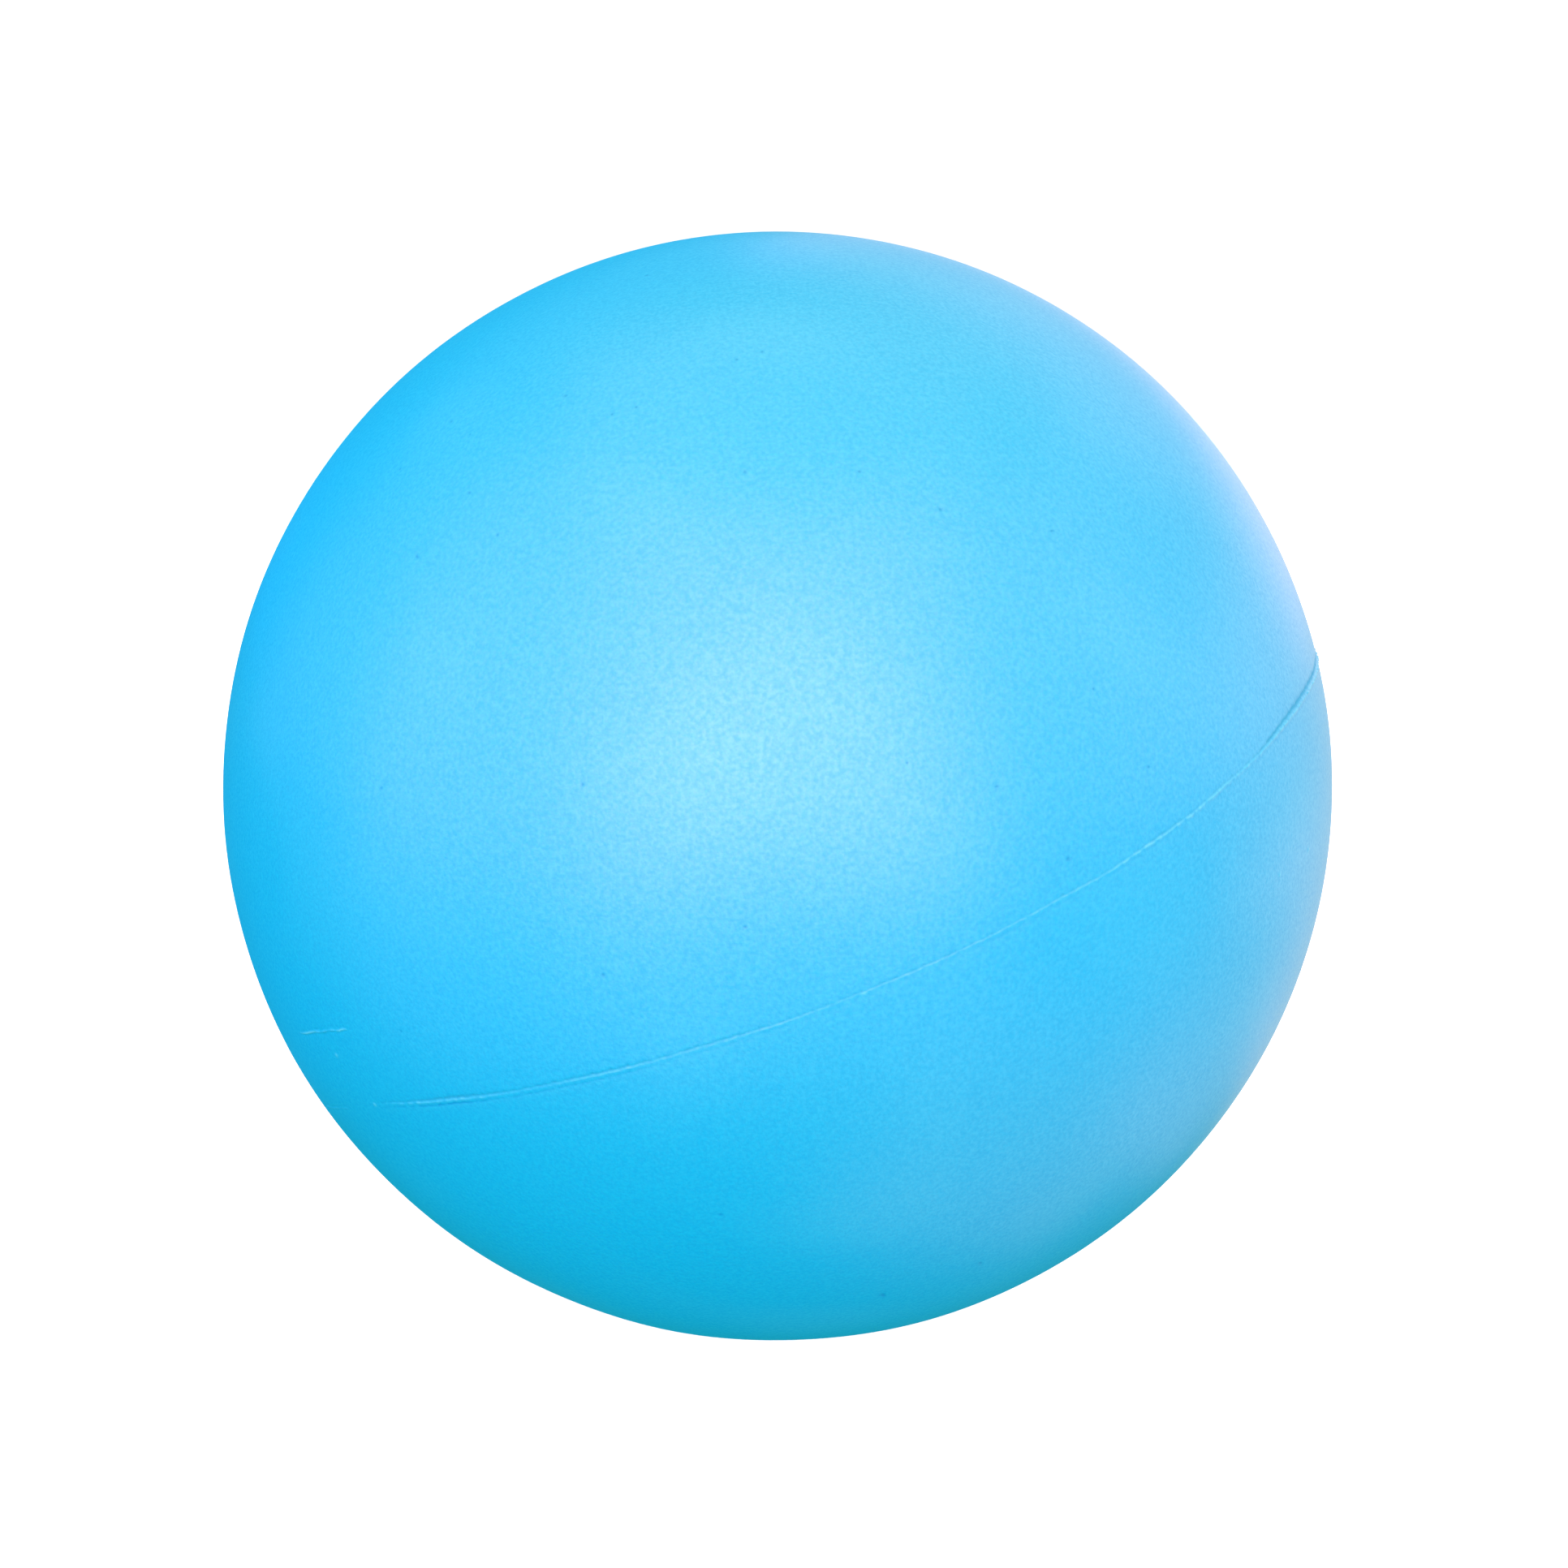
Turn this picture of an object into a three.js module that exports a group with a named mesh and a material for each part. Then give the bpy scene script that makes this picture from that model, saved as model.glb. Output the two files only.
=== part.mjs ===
// A lacrosse ball: one solid ball of moulded rubber, with the low ridge of the parting line that
// runs right round it where the two halves of its mould met.
// Millimetres, +Z up. The origin is the centre of the ball. The ball lies as it came to rest, so its
// parting plane passes through the origin and the Y axis, and slopes up towards +X.

import * as THREE from 'three';

// Driving dimensions, in millimetres and degrees.
const ballDiameter = 63.5; // 2.5 in across, a circumference of 199.5 mm
const ridgeWidth = 0.5; // across the foot of the trimmed parting ridge
const ridgeHeight = 0.05; // how far its crest stands proud of the ball
const partingSlope = 21.4; // the parting plane's slope, about the Y axis

// How finely the round shapes are faceted.
const facetsAround = 84; // round the ball, along the parting line
const facetsPerCap = 21; // from either pole to the foot of the ridge
const facetsAcrossRidge = 6; // from one foot of the ridge to the other

const ballRadius = ballDiameter / 2;

// The latitude, in radians from the parting plane, at which the ridge's foot meets the ball.
const footLatitude = Math.asin(ridgeWidth / 2 / ballRadius);

function pointOnProfile(radius, latitude) {
  return new THREE.Vector2(radius * Math.cos(latitude), radius * Math.sin(latitude));
}

// The smooth arc between two latitudes, without its last point.
function capArc(fromLatitude, toLatitude) {
  const points = [];
  for (let i = 0; i < facetsPerCap; i += 1) {
    const latitude = THREE.MathUtils.lerp(fromLatitude, toLatitude, i / facetsPerCap);
    points.push(pointOnProfile(ballRadius, latitude));
  }
  return points;
}

// The ridge's section, a raised cosine that leaves the ball tangentially at both feet.
function ridgeSection() {
  const points = [];
  for (let i = 0; i < facetsAcrossRidge; i += 1) {
    const across = THREE.MathUtils.lerp(-1, 1, i / facetsAcrossRidge);
    const rise = ridgeHeight * (1 + Math.cos(Math.PI * across)) / 2;
    points.push(pointOnProfile(ballRadius + rise, across * footLatitude));
  }
  return points;
}

// The ball's half section, from the lower pole over the ridge to the upper pole.
// Both ends lie exactly on the axis, so that the turned surface closes.
function ballProfile() {
  const lowerPole = new THREE.Vector2(0, -ballRadius);
  const upperPole = new THREE.Vector2(0, ballRadius);
  const lowerCap = capArc(-Math.PI / 2, -footLatitude).slice(1);
  const upperCap = capArc(footLatitude, Math.PI / 2);
  return [lowerPole, ...lowerCap, ...ridgeSection(), ...upperCap, upperPole];
}

function makeRubberBall() {
  const geometry = new THREE.LatheGeometry(ballProfile(), facetsAround);
  const blueRubber = new THREE.MeshStandardMaterial({
    color: '#19b8ef',
    roughness: 0.4,
    metalness: 0,
  });
  const ball = new THREE.Mesh(geometry, blueRubber);
  ball.name = 'rubber_ball';
  ball.rotation.x = Math.PI / 2; // a lathe turns about Y, and the ball's parting axis starts on Z
  return ball;
}

// The parting axis leans back from +Z towards -X, which lifts the parting line on the +X side.
const partingFrame = new THREE.Group();
partingFrame.rotation.y = -THREE.MathUtils.degToRad(partingSlope);
partingFrame.add(makeRubberBall());

const lacrosseBall = new THREE.Group();
lacrosseBall.add(partingFrame);

export default lacrosseBall;
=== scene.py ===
"""A lacrosse ball of bright blue moulded rubber, lying on a pale studio floor.

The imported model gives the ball's place and size. Its plain solid is replaced here by one fine mesh, which
has the trimmed flash along the mould's parting line, the scratch beside it and the small pits and crumbs of
the real surface, and is dressed in satin rubber. A name that ends in _mm is in millimetres, in _deg in
degrees and in _px in pixels of the photograph, which is 1932 pixels square. Other lengths are in metres.
"""
import logging
from dataclasses import dataclass, field
from enum import Enum

import bpy
import numpy as np
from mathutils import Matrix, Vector


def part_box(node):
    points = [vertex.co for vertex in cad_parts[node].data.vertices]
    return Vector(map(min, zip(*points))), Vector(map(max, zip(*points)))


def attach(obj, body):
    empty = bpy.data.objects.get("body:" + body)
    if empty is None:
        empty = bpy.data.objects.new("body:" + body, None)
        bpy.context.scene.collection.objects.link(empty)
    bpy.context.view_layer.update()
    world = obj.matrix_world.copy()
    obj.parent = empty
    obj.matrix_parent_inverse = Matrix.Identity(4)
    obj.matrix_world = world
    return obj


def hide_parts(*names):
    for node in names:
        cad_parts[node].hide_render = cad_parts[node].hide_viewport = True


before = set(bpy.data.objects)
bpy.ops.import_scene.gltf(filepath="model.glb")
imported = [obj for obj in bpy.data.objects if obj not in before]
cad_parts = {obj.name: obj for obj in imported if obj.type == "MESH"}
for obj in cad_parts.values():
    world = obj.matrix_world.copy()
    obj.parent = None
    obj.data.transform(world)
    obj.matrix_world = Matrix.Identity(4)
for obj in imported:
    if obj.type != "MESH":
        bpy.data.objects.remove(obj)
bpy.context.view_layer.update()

log = logging.getLogger("lacrosse_ball")

MM = 0.001
PHOTO_SIDE_PX = 1932
BALL_NODE = "rubber_ball"
BALL_BODY = "root"
RUBBER_SLOT = "blue_rubber"

WAVE_COUNT = 24  # how many plain waves make up an irregular one
SAME_SIDE_COSINE = 0.5  # a point belongs to a mark's side of the ball above this
HOLLOW = 0.07  # a pit's depth as a share of its width
CRUMB = -0.12  # the same for a crumb, which stands proud
GRAIN_GROUP = "satin_grain"
GRAIN_MIDDLE = (0.3, 0.7)  # the part of the noise that the group's Tone stretches from 0 to 1


class Mask(Enum):
    """The point attributes that the ball's mesh hands to its material: a painted highlight on the crest,
    scratches and crumbs, painted shade in the upper grooves, painted shade in the lower groove and the pits,
    and paler patches and a paler band below the line.

    Each is 0 on plain rubber and 1 where its mark is at full strength, and a crest may go well above 1.
    """

    CREST = "crest"
    GROOVE = "groove"
    HOLLOW_SHADE = "dirt"
    HAZE = "haze"


def unit(vectors: np.ndarray) -> np.ndarray:
    """Scales each vector of the last axis to length one."""
    return vectors / np.linalg.norm(vectors, axis=-1, keepdims=True)


def bell(distance: np.ndarray, half_width: float) -> np.ndarray:
    """A smooth bump of height one: e to the minus square of distance over half width."""
    return np.exp(-((distance / half_width) ** 2))


def smooth_step(value: np.ndarray, low: float, high: float) -> np.ndarray:
    """Rises from 0 at low to 1 at high, with level ends: 3 t squared minus 2 t cubed."""
    share = np.clip((value - low) / (high - low), 0.0, 1.0)
    return share * share * (3.0 - 2.0 * share)


def waves_around(
    longitude_deg: np.ndarray, slowest: int, fastest: int, rng: np.random.Generator
) -> np.ndarray:
    """Irregular waves that close on themselves once round the ball, about one high.

    The sum of cosines whose whole numbers of turns lie between slowest and fastest, each with a phase drawn
    at random, over the square root of half their count.

    Args:
        longitude_deg: where round the ball each value is wanted.
        slowest: fewest waves once round.
        fastest: most waves once round.
        rng: source of the frequencies and phases.

    Returns:
        One value for each longitude.
    """
    turns = rng.integers(slowest, fastest + 1, WAVE_COUNT)
    phases = rng.uniform(0.0, 2.0 * np.pi, WAVE_COUNT)
    angles = np.radians(longitude_deg)[:, None] * turns + phases
    return np.cos(angles).sum(axis=1) / np.sqrt(WAVE_COUNT / 2.0)


def waves_in_space(points_mm: np.ndarray, wavelength_mm: float, rng: np.random.Generator) -> np.ndarray:
    """Irregular soft waves through space, about one high.

    The sum of plane waves of one wavelength, each in a direction and with a phase drawn at random, over the
    square root of half their count.

    Args:
        points_mm: the places, one row each.
        wavelength_mm: distance from crest to crest.
        rng: source of the directions and phases.

    Returns:
        One value for each point.
    """
    directions = unit(rng.normal(size=(WAVE_COUNT, 3)))
    phases = rng.uniform(0.0, 2.0 * np.pi, WAVE_COUNT)
    angles = points_mm @ directions.T * (2.0 * np.pi / wavelength_mm) + phases
    return np.cos(angles).sum(axis=1) / np.sqrt(WAVE_COUNT / 2.0)


@dataclass(frozen=True)
class PhotoCamera:
    """The photograph's camera, from the ball's outline in it and the curve of the parting line."""

    elevation_deg: float = 17.0
    distance_in_radii: float = 2.55
    outline_x_px: float = 958.0
    outline_y_px: float = 968.4
    outline_radius_px: float = 683.5
    sensor_width_mm: float = 36.0
    nearest_seen: float = 0.001

    def axes(self) -> tuple[np.ndarray, np.ndarray, np.ndarray]:
        """The camera's own directions in the ball's frame.

        Returns:
            Unit vectors to its right, up and backwards.
        """
        elevation = np.radians(self.elevation_deg)
        right = np.array([1.0, 0.0, 0.0])
        back = np.array([0.0, -np.cos(elevation), np.sin(elevation)])
        return right, np.cross(back, right), back

    def focal_px(self) -> float:
        """The focal length at which the ball's outline has its radius in the photograph."""
        return self.outline_radius_px * np.sqrt(self.distance_in_radii**2 - 1.0)

    def direction_at(self, x_px: float, y_px: float) -> np.ndarray:
        """The direction from the ball's centre to the point that a pixel of the photograph shows.

        The camera sits at D radii along its backward axis. A ray through the pixel leaves it along
        d = (dx, dy, -1), and meets the unit ball at the smaller root t of |D back + t d| = 1.

        Args:
            x_px: pixels from the photograph's left edge.
            y_px: pixels from the photograph's top edge.

        Returns:
            A unit vector in the ball's frame.
        """
        right, up, back = self.axes()
        ray = (x_px - self.outline_x_px) * right + (self.outline_y_px - y_px) * up
        ray = ray / self.focal_px() - back
        camera = self.distance_in_radii * back
        square, half_slope = ray @ ray, ray @ camera
        inside = half_slope**2 - square * (camera @ camera - 1.0)
        reach = (-half_slope - np.sqrt(max(inside, 0.0))) / square
        return unit(camera + reach * ray)

    def build(self, centre: np.ndarray, radius: float) -> bpy.types.Object:
        """Makes the Blender camera and makes it the scene's own.

        Args:
            centre: the ball's centre.
            radius: the ball's radius.

        Returns:
            The camera object.
        """
        data = bpy.data.cameras.new("photo_camera")
        data.sensor_width = self.sensor_width_mm
        data.lens = self.focal_px() / PHOTO_SIDE_PX * self.sensor_width_mm
        data.shift_x = (PHOTO_SIDE_PX / 2 - self.outline_x_px) / PHOTO_SIDE_PX
        data.shift_y = (self.outline_y_px - PHOTO_SIDE_PX / 2) / PHOTO_SIDE_PX
        data.clip_start = self.nearest_seen
        camera = bpy.data.objects.new("photo_camera", data)
        back = self.axes()[2]
        camera.location = Vector(centre + back * radius * self.distance_in_radii)
        camera.rotation_euler = Vector(-back).to_track_quat("-Z", "Y").to_euler()
        bpy.context.scene.collection.objects.link(camera)
        bpy.context.scene.camera = camera
        return camera


@dataclass(frozen=True)
class PartingFrame:
    """The ball's own latitudes and longitudes, about the axis square to the parting plane.

    The plane slopes up towards +X by its slope about the Y axis. Longitude 0 faces the viewer, along -Y,
    and 90 degrees lies on the right.
    """

    slope_deg: float = 21.4

    def axes(self) -> np.ndarray:
        """The directions that the latitudes and longitudes are counted by.

        Returns:
            Rows towards longitude 90 degrees, away from the viewer, and along the parting axis.
        """
        slope = np.radians(self.slope_deg)
        sideways = [np.cos(slope), 0.0, np.sin(slope)]
        axis = [-np.sin(slope), 0.0, np.cos(slope)]
        return np.array([sideways, [0.0, 1.0, 0.0], axis])

    def directions(self, latitude_deg: np.ndarray, longitude_deg: np.ndarray) -> np.ndarray:
        """Turns latitudes and longitudes into unit vectors.

        Each is cos lat sin lon sideways, minus cos lat cos lon away, and sin lat along the axis.

        Args:
            latitude_deg: degrees above the parting plane.
            longitude_deg: degrees round the axis.

        Returns:
            One row for each pair.
        """
        latitude, longitude = np.radians(latitude_deg), np.radians(longitude_deg)
        flat = np.cos(latitude)
        parts = [flat * np.sin(longitude), -flat * np.cos(longitude), np.sin(latitude)]
        return np.stack(parts, axis=-1) @ self.axes()

    def coordinates(self, directions: np.ndarray) -> tuple[np.ndarray, np.ndarray]:
        """Turns unit vectors back into latitudes and longitudes.

        Args:
            directions: the unit vectors, in rows.

        Returns:
            The latitudes and the longitudes, in degrees.
        """
        parts = directions @ self.axes().T
        latitude = np.degrees(np.arcsin(np.clip(parts[..., 2], -1.0, 1.0)))
        return latitude, np.degrees(np.arctan2(parts[..., 0], -parts[..., 1]))


@dataclass(frozen=True)
class RingStack:
    """How finely the ball is divided into rings about the parting axis."""

    finest_mm: float = 0.024  # from ring to ring on the parting line
    fine_reach_mm: float = 0.19  # how far from the line the rings stay as close as that
    growth: float = 0.50  # how much wider each millimetre beyond makes them
    coarsest_mm: float = 0.68  # from ring to ring everywhere else
    finest_along_mm: float = 0.125  # from point to point along a ring, at its closest
    fewest_round: int = 5  # points on the smallest ring
    steps: int = 20000  # in which the way from the line to a pole is added up

    def spacing_mm(self, offset_mm: np.ndarray) -> np.ndarray:
        """The distance from ring to ring at a distance from the parting line."""
        beyond = np.maximum(np.abs(offset_mm) - self.fine_reach_mm, 0.0)
        return np.minimum(self.finest_mm + self.growth * beyond, self.coarsest_mm)

    def offsets_mm(self, radius_mm: float) -> np.ndarray:
        """The rings' distances from the parting line over the surface, from below it to above it.

        One over the spacing, added up from the line to a pole, counts the rings that fit on the way. The
        rings lie where that sum, stretched to end on a whole number, passes each whole number.

        Args:
            radius_mm: the ball's radius.

        Returns:
            The offsets, without the poles themselves.
        """
        reach = np.linspace(0.0, radius_mm * np.pi / 2.0, self.steps + 1)
        density = 1.0 / self.spacing_mm(reach)
        steps = (density[1:] + density[:-1]) / 2.0 * np.diff(reach)
        passed = np.concatenate([[0.0], np.cumsum(steps)])
        rings = int(np.ceil(passed[-1]))
        upper = np.interp(np.arange(1, rings), passed * rings / passed[-1], reach)
        return np.concatenate([-upper[::-1], [0.0], upper])

    def build(self, radius_mm: float) -> tuple[np.ndarray, np.ndarray, np.ndarray]:
        """Lays out the rings' points and joins them into one closed surface.

        Args:
            radius_mm: the ball's radius.

        Returns:
            The offset of each point from the parting line in millimetres, its longitude in degrees, and the
            triangles as rows of three point numbers, facing outwards.
        """
        offsets = self.offsets_mm(radius_mm)
        girths = 2.0 * np.pi * radius_mm * np.cos(offsets / radius_mm)
        along = np.maximum(self.spacing_mm(offsets), self.finest_along_mm)
        counts = np.maximum(np.round(girths / along), self.fewest_round).astype(int)
        firsts = 1 + np.concatenate([[0], np.cumsum(counts)])
        last = int(firsts[-1])

        pole = radius_mm * np.pi / 2.0
        point_offsets = np.concatenate([[-pole], np.repeat(offsets, counts), [pole]])
        steps_round = np.arange(counts.sum()) - np.repeat(firsts[:-1] - 1, counts)
        turns = steps_round / np.repeat(counts, counts)
        longitudes = np.concatenate([[0.0], 360.0 * turns - 180.0, [0.0]])

        rings = list(zip(firsts[:-1], counts))
        strips = [stitch_rings(lower, upper) for lower, upper in zip(rings[:-1], rings[1:])]
        bottom = fan_round(0, rings[0])[:, ::-1]
        top = fan_round(last, rings[-1])
        return point_offsets, longitudes, np.concatenate([bottom, *strips, top])


def fan_round(pole: int, ring: tuple[int, int]) -> np.ndarray:
    """Triangles from a pole to each edge of the ring next to it.

    Args:
        pole: number of the pole's point.
        ring: number of the ring's first point, and its count.

    Returns:
        Rows of three point numbers, wound anticlockwise as seen from above.
    """
    first, count = ring
    steps = np.arange(count)
    return np.stack([first + steps, first + (steps + 1) % count, np.full(count, pole)], axis=1)


def stitch_rings(lower: tuple[int, int], upper: tuple[int, int]) -> np.ndarray:
    """Triangles between two rings, which may have different numbers of points.

    Both rings start at the same longitude. Sorted by their middles, their edges make one row round the
    ball, and each edge is joined to the point that the other ring has reached by then: its number is how
    many of the other ring's middles came before. Whole numbers keep ties exact.

    Args:
        lower: number of the lower ring's first point, and its count.
        upper: the same for the upper ring.

    Returns:
        Rows of three point numbers, facing outwards.
    """
    low_first, low_count = lower
    up_first, up_count = upper
    low, up = np.arange(low_count), np.arange(up_count)
    reached_up = -((low_count - (2 * low + 1) * up_count) // (2 * low_count))
    reached_low = ((2 * up + 1) * low_count + up_count) // (2 * up_count)
    from_low = [low_first + low, low_first + (low + 1) % low_count, up_first + reached_up % up_count]
    from_up = [low_first + reached_low % low_count, up_first + (up + 1) % up_count, up_first + up]
    return np.concatenate([np.stack(from_low, axis=1), np.stack(from_up, axis=1)])


@dataclass(frozen=True)
class Mark:
    """A small hollow, crumb or scratch on the ball, by its place, its heading and its half sizes.

    direction points from the ball's centre to the mark's middle, and along lies over the surface there.
    """

    direction: np.ndarray
    along: np.ndarray
    half_length_mm: float
    half_width_mm: float

    def local_mm(
        self, directions: np.ndarray, radius_mm: float
    ) -> tuple[np.ndarray, np.ndarray, np.ndarray]:
        """Places points beside the mark.

        Args:
            directions: unit vectors to the points.
            radius_mm: the ball's radius.

        Returns:
            Their distances along the mark and across it, and which of them are on its side of the ball.
        """
        facing = directions @ self.direction > SAME_SIDE_COSINE
        along = directions @ self.along * radius_mm
        return along, directions @ np.cross(self.direction, self.along) * radius_mm, facing

    def distance_mm(self, directions: np.ndarray, radius_mm: float) -> np.ndarray:
        """How far each point lies from the mark's middle line.

        Args:
            directions: unit vectors to the points.
            radius_mm: the ball's radius.

        Returns:
            One distance for each point, endless on the far side.
        """
        along, across, facing = self.local_mm(directions, radius_mm)
        beyond = np.maximum(np.abs(along) - self.half_length_mm, 0.0)
        return np.where(facing, np.hypot(beyond, across), np.inf)


@dataclass(frozen=True)
class MarkMesh:
    """How finely the surface is divided round its marks."""

    share: float = 0.66  # longest edge on a mark, as a share of the mark's half width
    core: float = 1.5  # how many half widths from its middle line an edge stays as short as that
    growth: float = 0.8  # how much longer each millimetre beyond lets an edge be
    passes: int = 7

    def longest_mm(self, marks: list[Mark], directions: np.ndarray, radius_mm: float) -> np.ndarray:
        """The longest edge that is wanted at each place.

        Args:
            marks: the marks that the surface must show.
            directions: unit vectors to the places.
            radius_mm: the ball's radius.

        Returns:
            One length for each place.
        """
        longest = np.full(len(directions), np.inf)
        for mark in marks:
            away = mark.distance_mm(directions, radius_mm) - self.core * mark.half_width_mm
            wanted = self.share * mark.half_width_mm + self.growth * np.maximum(away, 0.0)
            longest = np.minimum(longest, wanted)
        return longest

    def refine(
        self,
        marks: list[Mark],
        directions: np.ndarray,
        values: np.ndarray,
        triangles: np.ndarray,
        radius_mm: float,
    ) -> tuple[np.ndarray, np.ndarray, np.ndarray]:
        """Halves the edges that are too long for the marks near them, again and again.

        Args:
            marks: the marks that the surface must show.
            directions: unit vectors to the points.
            values: a row of numbers for each point, which a new point takes from the middle of its edge.
            triangles: rows of three point numbers.
            radius_mm: the ball's radius.

        Returns:
            The directions, values and triangles after the last pass.
        """
        for _ in range(self.passes):
            count = len(directions)
            sides = np.concatenate([triangles[:, [0, 1]], triangles[:, [1, 2]], triangles[:, [2, 0]]])
            keys, side_edges = np.unique(sides.min(axis=1) * count + sides.max(axis=1), return_inverse=True)
            edges = np.stack([keys // count, keys % count], axis=1)
            ends = directions[edges]
            middles = unit(ends.sum(axis=1))
            lengths_mm = np.linalg.norm(ends[:, 0] - ends[:, 1], axis=1) * radius_mm
            halved = lengths_mm > self.longest_mm(marks, middles, radius_mm)
            made = np.full(len(edges), -1)
            made[halved] = count + np.arange(halved.sum())
            triangles = divide(triangles, made[side_edges].reshape(3, -1).T)
            directions = np.concatenate([directions, middles[halved]])
            values = np.concatenate([values, values[edges[halved]].mean(axis=1)])
        return directions, values, triangles


def divide(triangles: np.ndarray, middles: np.ndarray) -> np.ndarray:
    """Divides each triangle at the new points on its sides, without leaving a gap to its neighbours.

    Args:
        triangles: rows of three point numbers.
        middles: the point on the side after each corner, or -1 where that side stays whole.

    Returns:
        Rows of three point numbers, wound as before.
    """
    split = middles >= 0
    count = split.sum(axis=1)
    first_split, after_whole = np.argmax(split, axis=1), np.argmax(~split, axis=1) + 1
    start = np.where(count == 1, first_split, np.where(count == 2, after_whole, 0))
    turned = (np.arange(3) + start[:, None]) % 3
    a, b, c = np.take_along_axis(triangles, turned, axis=1).T
    m, n, o = np.take_along_axis(middles, turned, axis=1).T
    patterns = {
        0: [(a, b, c)],
        1: [(a, m, c), (m, b, c)],
        2: [(m, b, n), (a, m, n), (a, n, c)],
        3: [(a, m, o), (m, b, n), (o, n, c), (m, n, o)],
    }
    parts = [
        np.stack(corners, axis=1)[count == sides] for sides in patterns for corners in patterns[sides]
    ]
    return np.concatenate(parts)


@dataclass(frozen=True)
class LineKnot:
    """A place on the parting line that the photograph shows: its crest's height and grooves' depths."""

    x_px: float
    y_px: float
    crest_mm: float
    groove_mm: float
    lower_groove_mm: float


@dataclass(frozen=True)
class FarKnot:
    """A place on the parting line that the photograph doesn't show, by its longitude and offset."""

    longitude_deg: float
    crest_mm: float
    groove_mm: float
    offset_mm: float = 0.0
    lower_groove_mm: float = 0.003


@dataclass(frozen=True)
class Dashes:
    """How a run along the line breaks up: its usual strength, and its least and most."""

    usual: float
    least: float = 0.1
    most: float = 1.8

    def broken(self, *swings: np.ndarray) -> np.ndarray:
        """The usual strength plus the swings, kept between the least and the most."""
        return np.clip(sum(swings, self.usual), self.least, self.most)


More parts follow.
